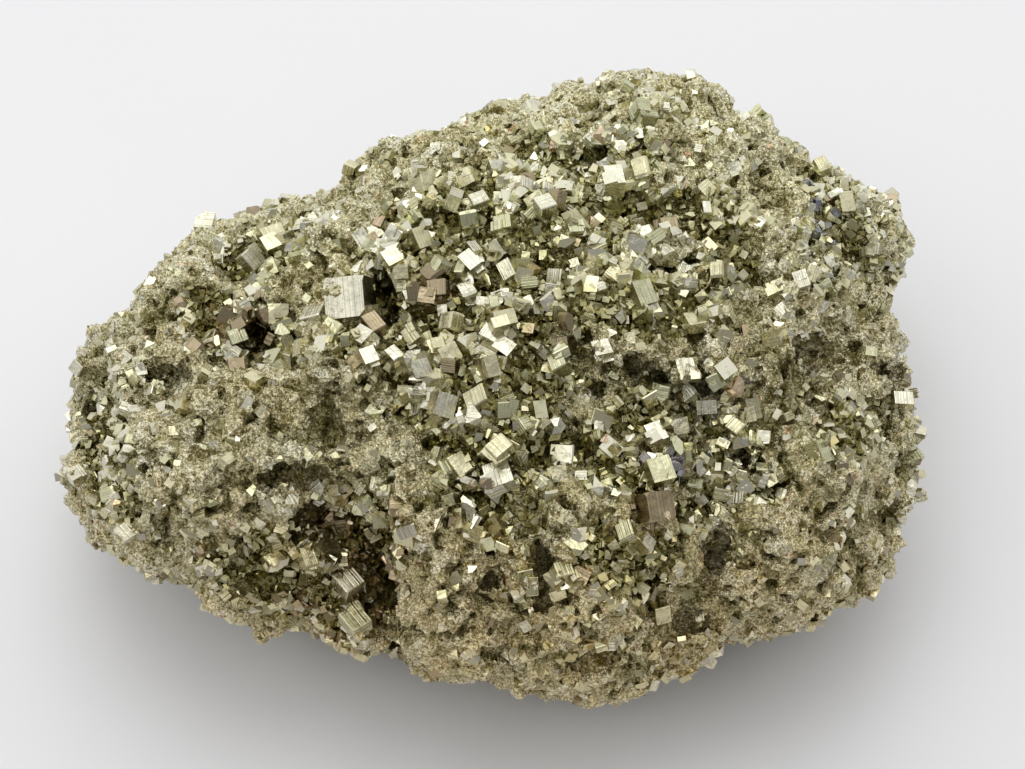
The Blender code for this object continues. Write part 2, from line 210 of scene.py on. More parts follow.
def druse_share(point, normal):
    """How much of the surface at a point is clear druse, from 0 on fine granular rock to 1."""
    wander = noise.noise(point / 6.5) * 0.32 + noise.noise(point / 2.6) * 0.12
    elsewhere = 0.02 + 1.6 * (noise.noise(point / HIDDEN_PATCH + HIDDEN_SHIFT) + 0.5 * wander)
    facing = held(normal.dot((EYE - point).normalized()) * 4.0)
    across, up = face_place(point)
    nearest = 9.0
    for u, v, half_wide, half_high, turn in DRUSE_FIELDS:
        c, s = math.cos(math.radians(turn)), math.sin(math.radians(turn))
        along = ((across - u) * c + (up - v) * s) / half_wide
        over = ((up - v) * c - (across - u) * s) / half_high
        nearest = min(nearest, math.hypot(along, over))
    on_face = held((DRUSE_EDGE_AT + wander - nearest) / DRUSE_EDGE_WIDTH)
    return facing * on_face + (1.0 - facing) * held(elsewhere)


# The grains of the rock from knobs to crumbs: how far apart, and how much step, slant and swell each has.
KNOBS = (4.6, 0.5, 0.15, 1.25)
GRAINS = (2.1, 0.26, 0.45, 0.5)
CRUMBS = (1.05, 0.17, 0.5, 0.0)
GRAIN_SHIFT = Vector((5.0, 2.0, 9.0))
FINEST, FINEST_RISE = 0.6, 0.15
WARP, WARP_WIDTH = 1.6, 5.0

# The pores between them: width, the level of noise that opens one, how steeply it drops, and its depth.
PORE_WIDTH, PORE_LEVEL, PORE_SLOPE, PORE_DEPTH = 1.5, 0.2, 4.8, 2.2
PORE_SHIFT = Vector((7.0, 3.0, 2.0))


def grain_rise(point, apart, step, slant, swell):
    """The relief of grains of one size, each a facet with a height, a slant and a swell of its own."""
    apart_by, centres = noise.voronoi(point / apart)
    lean = noise.cell_vector(centres[0] * 17.3) - Vector((0.5, 0.5, 0.5))
    rise = step * noise.cell(centres[0] * 31.7) + slant * apart * lean.dot(point / apart - centres[0])
    return rise + swell * (0.4 - 1.7 * apart_by[0] ** 2)


def rock_rise(point, druse):
    """How far the rock stands out from the solid at a point: grains of three sizes, and pores."""
    warped = point + noise.noise_vector(point / WARP_WIDTH) * WARP
    pore = max(0.0, noise.noise(warped / PORE_WIDTH + PORE_SHIFT) - PORE_LEVEL) * PORE_SLOPE
    rise = grain_rise(warped, *KNOBS) + grain_rise(point + GRAIN_SHIFT, *GRAINS)
    rise += grain_rise(point, *CRUMBS) + FINEST_RISE * noise.noise(point / FINEST)
    return rise - min(pore, PORE_DEPTH) - ROCK_INSET - DRUSE_INSET * druse


solid = bmesh.new()
solid.from_mesh(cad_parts["pyrite_cluster"].data)
bmesh.ops.remove_doubles(solid, verts=solid.verts[:], dist=1e-6)
solid_tree = BVHTree.FromBMesh(solid)
closed_mesh = bpy.data.meshes.new("closed")
solid.to_mesh(closed_mesh)
solid.free()
rough = bpy.data.objects.new("rough", closed_mesh)
bpy.context.collection.objects.link(rough)
even = rough.modifiers.new("even_grid", "REMESH")
even.mode = "VOXEL"
even.voxel_size = ROCK_GRID * MM
soften = rough.modifiers.new("soften", "SMOOTH")
soften.factor = 0.5
soften.iterations = SOFTENING
graph = bpy.context.evaluated_depsgraph_get()
broken_mesh = bpy.data.meshes.new_from_object(rough.evaluated_get(graph))
bpy.data.objects.remove(rough)

bm = bmesh.new()
bm.from_mesh(broken_mesh)
bm.normal_update()
moved = []
for vert in bm.verts:
    point, normal = vert.co / MM, vert.normal
    rise = rock_rise(point, druse_share(point, normal))
    if point.z < BASE_LIMIT:
        rise = min(0.0, rise + ROCK_INSET)
    placed = point + normal * rise
    placed.z = max(placed.z, 0.0)
    moved.append(placed * MM)
for vert, placed in zip(bm.verts, moved):
    vert.co = placed
bm.to_mesh(broken_mesh)
bm.free()
rock = bpy.data.objects.new("rock", broken_mesh)
bpy.context.collection.objects.link(rock)
fewer = rock.modifiers.new("fewer_faces", "DECIMATE")
fewer.ratio = FACES_KEPT
graph = bpy.context.evaluated_depsgraph_get()
rock_mesh = bpy.data.meshes.new_from_object(rock.evaluated_get(graph))
for vert in rock_mesh.vertices:
    vert.co.z = max(vert.co.z, 0.0)
rock.modifiers.clear()
rock.data = rock_mesh
rock_mesh.name = "rock"
rock_mesh.shade_flat()


def corner_places(mesh):
    """Where each corner of a mesh is, in metres."""
    places = np.empty(len(mesh.vertices) * 3)
    mesh.vertices.foreach_get("co", places)
    return places.reshape(-1, 3)


def mark_depth(mesh):
    """Stores how far each corner lies under the solid's skin, in millimetres: the painted shade in the gaps
    deepens with it.
    """
    depths = []
    for place in corner_places(mesh):
        point = Vector(place)
        nearest, outward = solid_tree.find_nearest(point)[:2]
        depths.append((nearest - point).dot(outward) / MM)
    mesh.attributes.new("depth", "FLOAT", "POINT").data.foreach_set("value", depths)


# Iron stain and painted light: warmer with stain towards the lower front, and painted paler towards the top
# where the light from above falls.
TINT_WANDER = 9.0
WARM_BELOW, WARM_OVER = -12.0, 26.0
PAINTED_LIGHT_ABOVE, PAINTED_LIGHT_OVER = 8.0, 22.0
WARM_CHANGE = (0.05, -0.02, -0.1)
PAINTED_LIGHT_CHANGE = (0.13, 0.15, 0.14)


def iron_stain_and_painted_top_light(point):
    """The lump is painted a little paler towards its top, as painted light from above, and is warmer with iron
    stain towards its lower front.
    """
    up = face_place(point)[1] + TINT_WANDER * noise.noise(point / TINT_WANDER)
    warm = held((WARM_BELOW - up) / WARM_OVER)
    pale = held((up - PAINTED_LIGHT_ABOVE) / PAINTED_LIGHT_OVER)
    return [1.04 + warmer * warm + paler * pale for warmer, paler in zip(WARM_CHANGE, PAINTED_LIGHT_CHANGE)]


def mark_tint(mesh):
    """Stores the iron stain and the painted light of the paler top at each corner of a mesh as a colour."""
    tints = [(*iron_stain_and_painted_top_light(Vector(place) / MM), 1.0) for place in corner_places(mesh)]
    mesh.attributes.new("tint", "FLOAT_COLOR", "POINT").data.foreach_set("color", np.array(tints).ravel())


mark_depth(rock_mesh)
mark_tint(rock_mesh)

BRASS_GREY = (0.67, 0.62, 0.42, 1.0)
DULL_BRASS = (0.56, 0.51, 0.31, 1.0)
DULL_GREY = (0.67, 0.64, 0.48, 1.0)
# Painted shade: the dark olive that the gaps, pores and crystal bases turn to.
GAP_SHADE_OLIVE = (0.275, 0.25, 0.10, 1.0)
SILVERY = (0.76, 0.74, 0.62, 1.0)
COPPER = (0.60, 0.40, 0.25, 1.0)
# Depths under the skin, in millimetres, where the painted shade in the gaps starts and where it is full.
SHADE_FROM = 0.55
SHADE_FULL = 2.3


def glitter_group():
    """Small flat grains too fine to model: each turns the surface its own way and has its own tone."""
    group = bpy.data.node_groups.new("granular_glitter", "ShaderNodeTree")
    group.interface.new_socket("Vector", in_out="INPUT", socket_type="NodeSocketVector")
    group.interface.new_socket("Grains per metre", in_out="INPUT", socket_type="NodeSocketFloat")
    group.interface.new_socket("Tilt", in_out="INPUT", socket_type="NodeSocketFloat")
    group.interface.new_socket("Normal", in_out="INPUT", socket_type="NodeSocketVector")
    group.interface.new_socket("Normal", in_out="OUTPUT", socket_type="NodeSocketVector")
    group.interface.new_socket("Tone", in_out="OUTPUT", socket_type="NodeSocketFloat")
    nodes, links = group.nodes, group.links
    given = nodes.new("NodeGroupInput")
    made = nodes.new("NodeGroupOutput")
    cells = nodes.new("ShaderNodeTexVoronoi")
    centred = nodes.new("ShaderNodeVectorMath")
    centred.operation = "SUBTRACT"
    centred.inputs[1].default_value = (0.5, 0.5, 0.5)
    tilted = nodes.new("ShaderNodeVectorMath")
    tilted.operation = "SCALE"
    added = nodes.new("ShaderNodeVectorMath")
    added.operation = "ADD"
    unit = nodes.new("ShaderNodeVectorMath")
    unit.operation = "NORMALIZE"
    split = nodes.new("ShaderNodeSeparateColor")
    links.new(given.outputs["Vector"], cells.inputs["Vector"])
    links.new(given.outputs["Grains per metre"], cells.inputs["Scale"])
    links.new(cells.outputs["Color"], centred.inputs[0])
    links.new(centred.outputs["Vector"], tilted.inputs[0])
    links.new(given.outputs["Tilt"], tilted.inputs["Scale"])
    links.new(given.outputs["Normal"], added.inputs[0])
    links.new(tilted.outputs["Vector"], added.inputs[1])
    links.new(added.outputs["Vector"], unit.inputs[0])
    links.new(unit.outputs["Vector"], made.inputs["Normal"])
    links.new(cells.outputs["Color"], split.inputs["Color"])
    links.new(split.outputs["Red"], made.inputs["Tone"])
    return group


def painted_gap_shade_group():
    """Painted shade in the gaps, in olive: it deepens with the depth under the lump's skin, in uneven patches.
    """
    group = bpy.data.node_groups.new("painted_gap_shade", "ShaderNodeTree")
    group.interface.new_socket("Color", in_out="INPUT", socket_type="NodeSocketColor")
    group.interface.new_socket("Color", in_out="OUTPUT", socket_type="NodeSocketColor")
    nodes, links = group.nodes, group.links
    given = nodes.new("NodeGroupInput")
    made = nodes.new("NodeGroupOutput")
    depth = nodes.new("ShaderNodeAttribute")
    depth.attribute_name = "depth"
    place = nodes.new("ShaderNodeTexCoord")
    patches = nodes.new("ShaderNodeTexNoise")
    patches.inputs["Scale"].default_value = 500.0
    patches.inputs["Detail"].default_value = 3.0
    uneven = nodes.new("ShaderNodeMath")
    uneven.operation = "ADD"
    share = nodes.new("ShaderNodeMapRange")
    share.inputs["From Min"].default_value = SHADE_FROM
    share.inputs["From Max"].default_value = SHADE_FULL
    share.inputs["To Max"].default_value = 0.9
    painted_shade_mix = nodes.new("ShaderNodeMix")
    painted_shade_mix.data_type = "RGBA"
    painted_shade_mix.inputs["B"].default_value = GAP_SHADE_OLIVE
    links.new(place.outputs["Object"], patches.inputs["Vector"])
    links.new(depth.outputs["Fac"], uneven.inputs[0])
    links.new(patches.outputs["Fac"], uneven.inputs[1])
    links.new(uneven.outputs["Value"], share.inputs["Value"])
    links.new(share.outputs["Result"], painted_shade_mix.inputs["Factor"])
    links.new(given.outputs["Color"], painted_shade_mix.inputs["A"])
    links.new(painted_shade_mix.outputs["Result"], made.inputs["Color"])
    return group


glitter = glitter_group()
painted_gap_shade = painted_gap_shade_group()

granular = bpy.data.materials.new("granular_pyrite")
granular.use_nodes = True
nodes, links = granular.node_tree.nodes, granular.node_tree.links
shader = nodes["Principled BSDF"]
shader.inputs["Metallic"].default_value = 1.0
place = nodes.new("ShaderNodeTexCoord")
patches = nodes.new("ShaderNodeTexNoise")
patches.inputs["Scale"].default_value = 190.0
patches.inputs["Detail"].default_value = 6.0
patches.inputs["Roughness"].default_value = 0.65
colours = nodes.new("ShaderNodeValToRGB")
colours.color_ramp.elements[0].position = 0.36
colours.color_ramp.elements[0].color = DULL_BRASS
colours.color_ramp.elements[1].position = 0.6
colours.color_ramp.elements[1].color = DULL_GREY
brassy = colours.color_ramp.elements.new(0.48)
brassy.color = BRASS_GREY
silvery = colours.color_ramp.elements.new(0.7)
silvery.color = SILVERY
stains = nodes.new("ShaderNodeTexNoise")
stains.inputs["Scale"].default_value = 420.0
stains.inputs["Detail"].default_value = 2.0
stain_edge = nodes.new("ShaderNodeMapRange")
stain_edge.inputs["From Min"].default_value = 0.66
stain_edge.inputs["From Max"].default_value = 0.76
copper = nodes.new("ShaderNodeMix")
copper.data_type = "RGBA"
copper.inputs["B"].default_value = COPPER
specks = nodes.new("ShaderNodeTexNoise")
specks.inputs["Scale"].default_value = 2600.0
specks.inputs["Detail"].default_value = 5.0
specks.inputs["Roughness"].default_value = 0.72
speck_tone = nodes.new("ShaderNodeValToRGB")
speck_tone.color_ramp.elements[0].position = 0.4
speck_tone.color_ramp.elements[0].color = (0.45, 0.41, 0.30, 1.0)
speck_tone.color_ramp.elements[1].position = 0.58
speck_tone.color_ramp.elements[1].color = (1.42, 1.43, 1.46, 1.0)
speckled = nodes.new("ShaderNodeMix")
speckled.data_type = "RGBA"
speckled.blend_type = "MULTIPLY"
speckled.inputs["Factor"].default_value = 1.0
# The tint attribute carries iron stain towards the lower front and painted light that makes the top paler.
stain_and_painted_light_mix_tint = nodes.new("ShaderNodeAttribute")
stain_and_painted_light_mix_tint.attribute_name = "tint"
stain_and_painted_light_mix = nodes.new("ShaderNodeMix")
stain_and_painted_light_mix.data_type = "RGBA"
stain_and_painted_light_mix.blend_type = "MULTIPLY"
stain_and_painted_light_mix.inputs["Factor"].default_value = 1.0
# Painted shade: the rock's colour darkens to olive with depth under the skin, in pores and gaps.
in_gaps = nodes.new("ShaderNodeGroup")
in_gaps.node_tree = painted_gap_shade
surface = nodes.new("ShaderNodeNewGeometry")
flecks = nodes.new("ShaderNodeGroup")
flecks.node_tree = glitter
flecks.inputs["Grains per metre"].default_value = 1700.0
flecks.inputs["Tilt"].default_value = 0.85
sparkle = nodes.new("ShaderNodeGroup")
sparkle.node_tree = glitter
sparkle.inputs["Grains per metre"].default_value = 4600.0
sparkle.inputs["Tilt"].default_value = 1.25
crumbs = nodes.new("ShaderNodeTexNoise")
crumbs.inputs["Scale"].default_value = 4200.0
crumbs.inputs["Detail"].default_value = 3.0
crumbs.inputs["Roughness"].default_value = 0.7
crumbs_bump = nodes.new("ShaderNodeBump")
crumbs_bump.inputs["Distance"].default_value = 0.00025
crumbs_bump.inputs["Strength"].default_value = 0.8
gloss = nodes.new("ShaderNodeMapRange")
gloss.inputs["To Min"].default_value = 0.12
gloss.inputs["To Max"].default_value = 0.42
for texture in (patches, stains, specks, flecks, sparkle, crumbs):
    links.new(place.outputs["Object"], texture.inputs["Vector"])
links.new(patches.outputs["Fac"], colours.inputs["Fac"])
links.new(stains.outputs["Fac"], stain_edge.inputs["Value"])
links.new(stain_edge.outputs["Result"], copper.inputs["Factor"])
links.new(colours.outputs["Color"], copper.inputs["A"])
links.new(specks.outputs["Fac"], speck_tone.inputs["Fac"])
links.new(copper.outputs["Result"], speckled.inputs["A"])
links.new(speck_tone.outputs["Color"], speckled.inputs["B"])
links.new(speckled.outputs["Result"], stain_and_painted_light_mix.inputs["A"])
links.new(stain_and_painted_light_mix_tint.outputs["Color"], stain_and_painted_light_mix.inputs["B"])
links.new(stain_and_painted_light_mix.outputs["Result"], in_gaps.inputs["Color"])
links.new(in_gaps.outputs["Color"], shader.inputs["Base Color"])
links.new(surface.outputs["Normal"], flecks.inputs["Normal"])
links.new(flecks.outputs["Normal"], sparkle.inputs["Normal"])
links.new(sparkle.outputs["Tone"], gloss.inputs["Value"])
links.new(gloss.outputs["Result"], shader.inputs["Roughness"])
links.new(crumbs.outputs["Fac"], crumbs_bump.inputs["Height"])
links.new(sparkle.outputs["Normal"], crumbs_bump.inputs["Normal"])
links.new(crumbs_bump.outputs["Normal"], shader.inputs["Normal"])

rock_mesh.materials.append(granular)
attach(rock, "root")
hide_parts("pyrite_cluster")


# The crystals that stand out: striated pyrite cubes, the larger ones with octahedron faces on their
# corners. Each sits over its own crystal on the solid, found again along the same line of sight.
LARGE_FROM = 4.0
LARGEST_FROM = 5.5
CORNER_CUT = 0.15
SIDES_FROM, SIDES_TO = 0.68, 1.08
SCATTERED_COUNT = 50
SCATTERED_EDGE = (2.2, 3.3)
SCATTERED_SPACING = 17.0
SCATTER_SEED = 11
FACING_VIEW, FACING_DOWN = 0.62, -0.80
FAR_OUT = 200.0
FLAT_ON = 0.98
SLANTED_DEPTH = 0.15
FINISH_SEED = 3

# Across, up, edge length, turn about the line of sight, tip to the top, lean to the left.
GREAT_CRYSTALS = [
    (-20.8, 12.9, 5.8, 2.0, 8.0, -18.0),
    (-17.3, 8.9, 3.0, 24.0, 30.0, 20.0),
    (-11.2, 7.4, 2.8, 35.0, 20.0, -15.0),
    (-7.6, 5.9, 2.4, 8.0, 35.0, 10.0),
    (-5.6, 9.4, 3.0, -20.0, 15.0, 35.0),
    (2.0, 9.7, 3.0, 12.0, 12.0, 25.0),
    (2.3, 5.4, 3.3, -35.0, 25.0, -10.0),
    (-7.1, -3.2, 3.4, -20.0, 10.0, 25.0),
    (-1.2, -2.4, 3.3, 30.0, 35.0, -20.0),
    (2.6, -3.6, 2.7, 4.0, -15.0, 20.0),
    (1.8, -9.7, 3.0, 40.0, 25.0, 10.0),
    (-6.2, -12.7, 2.8, 15.0, 20.0, 35.0),
    (1.8, -14.0, 3.6, 20.0, 30.0, -5.0),
    (-9.4, 3.3, 3.4, 10.0, -20.0, -30.0),
    (-18.1, 4.1, 2.5, 15.0, 20.0, 15.0),
    (-14.2, 4.1, 2.5, 30.0, 30.0, 20.0),
    (-10.7, 14.2, 2.7, 2.0, -12.0, -25.0),
    (-7.5, 14.5, 2.7, 5.0, 15.0, -20.0),
    (-3.3, 13.8, 3.0, 20.0, 35.0, 15.0),
    (-32.6, 21.8, 3.3, 12.0, 22.0, 25.0),
    (-18.7, 22.2, 2.4, 30.0, 10.0, -15.0),
    (-14.4, 18.9, 2.7, 25.0, 30.0, 10.0),
    (-9.8, 30.5, 3.3, 5.0, 10.0, 40.0),
    (-3.3, 31.0, 3.0, 25.0, 15.0, -20.0),
    (-1.4, 27.5, 3.0, 20.0, 35.0, 15.0),
    (-3.2, 25.2, 3.1, 10.0, -10.0, 10.0),
    (2.6, 24.5, 2.7, 12.0, 15.0, -25.0),
    (-10.4, 22.0, 3.1, 15.0, 10.0, 35.0),
    (-2.7, 18.3, 2.8, 35.0, 25.0, 15.0),
    (3.2, 17.2, 3.0, 32.0, 20.0, -15.0),
    (13.0, 23.3, 2.5, 5.0, 30.0, 20.0),
    (27.1, 23.6, 3.4, 8.0, 25.0, 20.0),
    (23.3, 32.6, 3.1, 20.0, 20.0, -10.0),
    (19.0, 30.7, 3.4, 8.0, 40.0, 10.0),
    (23.3, 13.6, 3.3, 20.0, 12.0, 30.0),
    (17.1, 4.8, 3.0, 15.0, 35.0, 15.0),
    (11.5, 5.9, 3.1, 12.0, 10.0, -25.0),
    (10.9, 3.0, 2.8, 30.0, 30.0, -10.0),
    (30.1, 2.3, 2.7, 10.0, 25.0, 20.0),
    (34.9, 17.0, 2.8, 12.0, 20.0, -15.0),
    (25.4, -8.0, 3.3, 25.0, 30.0, 15.0),
    (25.8, -13.3, 3.6, 20.0, 15.0, 20.0),
    (29.3, -12.9, 3.0, 6.0, 35.0, 10.0),
    (25.1, -18.7, 4.1, 12.0, 5.0, 30.0),
    (21.2, -22.5, 2.7, 30.0, 30.0, -15.0),
    (11.2, -28.3, 2.8, 15.0, 20.0, 25.0),
    (6.4, -30.4, 2.4, 5.0, -10.0, 15.0),
    (34.6, -29.0, 2.7, 20.0, 25.0, 15.0),
    (40.0, -3.6, 2.8, 20.0, -5.0, 10.0),
    (33.3, -3.3, 2.7, 10.0, -5.0, -10.0),
    (-27.4, -26.3, 2.7, 6.0, 15.0, 25.0),
    (-21.2, -29.9, 3.4, 28.0, 15.0, 20.0),
    (-20.0, -35.8, 3.6, 25.0, 30.0, 15.0),
    (-30.8, -17.8, 3.7, 20.0, 10.0, 20.0),
    (-22.5, -21.9, 2.5, 15.0, 20.0, 30.0),
    (-62.2, -13.9, 3.0, 8.0, 35.0, 20.0),
    (-54.6, -22.8, 2.8, 20.0, 30.0, 15.0),
    (-55.0, 3.5, 2.5, 30.0, 30.0, 20.0),
    (-38.0, 7.0, 2.7, 10.0, 15.0, 15.0),
    (-35.8, 18.9, 3.4, 35.0, -5.0, 25.0),
    (54.0, 27.5, 3.0, 15.0, 10.0, 20.0),
    (50.5, 33.0, 2.8, 30.0, 30.0, 15.0),
    (43.5, 14.5, 2.5, 30.0, 20.0, 10.0),
    (62.5, -2.5, 2.7, 10.0, 25.0, 20.0),
]


def scattered_lines():
    """The seeded sight lines towards the middle of the lump that the solid's other crystals lie on."""
    draw = random.Random(SCATTER_SEED)
    found = []
    while len(found) < SCATTERED_COUNT:
        out = Vector((draw.gauss(0, 1), draw.gauss(0, 1), draw.gauss(0, 1))).normalized()
        edge = draw.uniform(*SCATTERED_EDGE)
        angles = [draw.uniform(0, 90) for _ in range(3)]
        if out.dot(-SIGHT) > FACING_VIEW or out.z < FACING_DOWN:
            continue
        if any(out.angle(other[0]) < math.radians(SCATTERED_SPACING) for other in found):
            continue
        found.append((out, edge, angles))
    return found


def crystal_centre(start, line, edge, turned):
    """A cube's centre lies behind the face that the line meets, by half the cube's width along the line.
    Where the line meets a slanted cut instead, it lies a little way in."""
    hit, normal = solid_tree.ray_cast(start * MM, line)[:2]
    shares = [abs(line.dot(turned.col[axis])) for axis in range(3)]
    best = shares.index(max(shares))
    if abs(normal.dot(turned.col[best])) > FLAT_ON:
        return hit / MM + line * (edge / 2 / shares[best])
    return hit / MM + line * (edge * SLANTED_DEPTH)


great = []
for across, up, edge, turn, tip, lean in GREAT_CRYSTALS:
    line = (MIDDLE + ACROSS * across + UP_FACE * up - EYE).normalized()
    facing = (-line).to_track_quat("Z", "Y").to_matrix() @ Matrix.Rotation(math.radians(turn), 3, "Z")
    turned = facing @ Euler((math.radians(-tip), math.radians(lean), 0.0)).to_matrix()
    great.append((crystal_centre(EYE, line, edge, turned), edge, turned))
for out, edge, angles in scattered_lines():
    turned = Euler([math.radians(a) for a in angles]).to_matrix()
    great.append((crystal_centre(MIDDLE + out * FAR_OUT, -out, edge, turned), edge, turned))


BREAK_WAY = (0.35, 1.0)
BREAK_REACH = (0.42, 0.62)
GROWN_SIZE = (0.45, 0.75)
GROWN_SHIFT = (0.15, 0.35)
GROWN_TILT = 14


def cut_away(bm, reach, way):
    """Takes off what lies further out than reach along a way, and closes the cut with one flat face."""
    way = Vector(way).normalized()
    cut = bmesh.ops.bisect_plane(
        bm, geom=bm.verts[:] + bm.edges[:] + bm.faces[:], plane_co=way * reach, plane_no=way, clear_outer=True
    )
    rim = [part for part in cut["geom_cut"] if isinstance(part, bmesh.types.BMEdge)]
    if len(rim) > 2:
        bmesh.ops.contextual_create(bm, geom=rim)


def cube_form(corner_cut=0.0, edge_cut=0.0, steps=0, broken=0, pyritohedral=0.0, seed=0):
    """A crystal one unit across: a cube, with cut corners, worn edges, smaller cubes grown into it,
    broken corners, or the slanted faces that pyrite shows beside a cube's."""
    draw = random.Random(seed)
    bm = bmesh.new()
    bmesh.ops.create_cube(bm, size=1.0)
    for _ in range(broken):
        way = [draw.choice((-1, 1)) * draw.uniform(*BREAK_WAY) for _ in range(3)]
        cut_away(bm, draw.uniform(*BREAK_REACH), way)
    if pyritohedral:
        for a, b in ((1.0, 2.0), (-1.0, 2.0), (1.0, -2.0), (-1.0, -2.0)):
            for way in ((0.0, a, b), (a, b, 0.0), (b, 0.0, a)):
                cut_away(bm, pyritohedral, way)
    if corner_cut:
        bmesh.ops.bevel(
            bm, geom=bm.verts[:], offset=corner_cut, offset_type="OFFSET",
            affect="VERTICES", segments=1, profile=0.5, material=-1,
        )
    if edge_cut:
        bmesh.ops.bevel(
            bm, geom=bm.edges[:], offset=edge_cut, offset_type="OFFSET",
            affect="EDGES", segments=1, profile=0.5, material=-1,
        )
    for _ in range(steps):
        grown = bmesh.ops.create_cube(bm, size=draw.uniform(*GROWN_SIZE))
        shift = Vector([draw.choice((-1, 1)) * draw.uniform(*GROWN_SHIFT) for _ in range(3)])
        tilt = Euler([math.radians(draw.uniform(-GROWN_TILT, GROWN_TILT)) for _ in range(3)]).to_matrix()
        bmesh.ops.rotate(bm, verts=grown["verts"], cent=(0, 0, 0), matrix=tilt)
        bmesh.ops.translate(bm, verts=grown["verts"], vec=shift)
    bm.normal_update()
    return bm


def form_arrays(bm):
    """A form's corners, the corners of each face, and each face corner's place on that face. The faces are
    put in order, because a bevel leaves them in one that differs from run to run."""
    bm.verts.index_update()
    points = np.array([vert.co for vert in bm.verts])
    faces = []
    for face in bm.faces:
        axis = max(range(3), key=lambda i: abs(face.normal[i]))
        square = abs(face.normal[axis]) > 0.9
        corners = []
        for vert in face.verts:
            spot = (vert.co[(axis + 1) % 3], vert.co[(axis + 2) % 3])
            corners.append((vert.index, spot if square else (0.0, 0.0)))
        first = corners.index(min(corners))
        faces.append(corners[first:] + corners[:first])
    faces.sort()
    bm.free()
    rounds = [[index for index, _ in corners] for corners in faces]
    return points, rounds, np.array([spot for corners in faces for _, spot in corners])


# Each copy's growth lines are shifted by this much from the last one's, round this range, in millimetres.
LINE_SHIFT, LINE_RANGE = 0.37, 5.0


def joined(name, groups):
    """One mesh of many crystals: a group is a form and each copy's centre, turn, size, tint and lines."""
    all_points, all_corners, all_starts, all_flats, all_tints, all_lines = ([] for _ in range(6))
    points_so_far, corners_so_far = 0, 0
    for form, centres, turns, sizes, tints, lines in groups:
        points, rounds, flats = form
        count = len(centres)
        if not count:
            continue
        stretched = points[None] * sizes[:, None, :]
        placed = np.einsum("kij,knj->kni", turns, stretched) + centres[:, None, :]
        placed[..., 2] = np.maximum(placed[..., 2], 0.0)
        corners = np.concatenate(rounds)
        starts = np.cumsum([0] + [len(r) for r in rounds[:-1]])
        steps = np.arange(count)[:, None]
        all_points.append(placed.reshape(-1, 3) * MM)
        all_corners.append((corners[None] + steps * len(points)).ravel() + points_so_far)
        all_starts.append((starts[None] + steps * len(corners)).ravel() + corners_so_far)
        scale = sizes.mean(axis=1)
        offset = (np.arange(count) * LINE_SHIFT) % LINE_RANGE
        all_flats.append((flats[None] * scale[:, None, None] + offset[:, None, None]).reshape(-1, 2))
        all_tints.append(np.repeat(tints, len(points), axis=0))
        all_lines.append(np.repeat(lines, len(points)))
        points_so_far += count * len(points)
        corners_so_far += count * len(corners)
    mesh = bpy.data.meshes.new(name)
    points, corners = np.concatenate(all_points), np.concatenate(all_corners)
    starts = np.concatenate(all_starts)
    mesh.vertices.add(len(points))
    mesh.vertices.foreach_set("co", points.ravel())
    mesh.loops.add(len(corners))
    mesh.loops.foreach_set("vertex_index", corners.astype(np.int32))
    mesh.polygons.add(len(starts))
    mesh.polygons.foreach_set("loop_start", starts.astype(np.int32))
    mesh.update(calc_edges=True)
    mesh.uv_layers.new(name="face_mm").data.foreach_set("uv", np.concatenate(all_flats).ravel())
    tint = mesh.attributes.new("tint", "FLOAT_COLOR", "POINT")
    opaque = np.concatenate([np.concatenate(all_tints), np.ones((len(points), 1))], axis=1)
    tint.data.foreach_set("color", opaque.ravel())
    lined = mesh.attributes.new("lined", "FLOAT", "POINT")
    lined.data.foreach_set("value", np.concatenate(all_lines))
    mesh.validate()
    mesh.shade_flat()
    obj = bpy.data.objects.new(name, mesh)
    bpy.context.collection.objects.link(obj)
    return obj


PALE = (0.70, 0.675, 0.53)
BRASSY = (0.62, 0.58, 0.38)
GREENISH = (0.58, 0.57, 0.37)
BROWN = (0.35, 0.285, 0.18)
ROSY = (0.60, 0.47, 0.32)
GOLDEN = (0.62, 0.55, 0.30)
BLUE = (0.22, 0.225, 0.25)
VIOLET = (0.33, 0.31, 0.31)

# Tarnish seen on the display face: across, up, radius, colour and the share of crystals that have it.
TARNISH = [
    (56.0, 28.0, 9.0, BLUE, 0.42),
    (33.5, -4.0, 8.0, BLUE, 0.08),
    (15.0, -9.0, 4.0, BLUE, 0.08),
    (27.0, -13.0, 4.5, VIOLET, 0.2),
    (36.5, -24.5, 4.0, BLUE, 0.16),
    (20.0, -43.0, 14.0, GOLDEN, 0.30),
    (-32.0, 7.0, 6.0, ROSY, 0.14),
    (-8.0, -28.0, 12.0, ROSY, 0.10),
    (-17.0, 27.0, 5.0, ROSY, 0.12),
    (-45.0, 14.0, 6.0, ROSY, 0.12),
    (-22.0, -27.0, 12.0, BROWN, 0.2),
    (-8.0, 14.5, 3.0, BROWN, 0.8),
    (25.0, -18.5, 3.5, BROWN, 0.9),
    (-38.0, 9.0, 7.0, BROWN, 0.2),
]


COMMON_TINTS = (PALE, BRASSY, GREENISH, BROWN, ROSY)
TINT_SHARES = (42, 34, 20, 3, 1)
DULLEST, BRIGHTEST = 0.79, 1.03


def crystal_tint(point, draw, least_share=0.0):
    """A crystal's colour: brassy, paler or greener, tarnished where the face is, with the iron stain and the
    painted light of the paler top.
    """
    colour = draw.choices(COMMON_TINTS, TINT_SHARES)[0]
    across, up = face_place(point)
    if (EYE - point).normalized().dot((point - MIDDLE).normalized()) > -0.1:
        for u, v, radius, stain, share in TARNISH:
            if math.hypot(across - u, up - v) < radius and draw.random() < share >= least_share:
                colour = stain
    bright = draw.uniform(DULLEST, BRIGHTEST)
    return [channel * change * bright for channel, change in zip(colour, iron_stain_and_painted_top_light(point))]


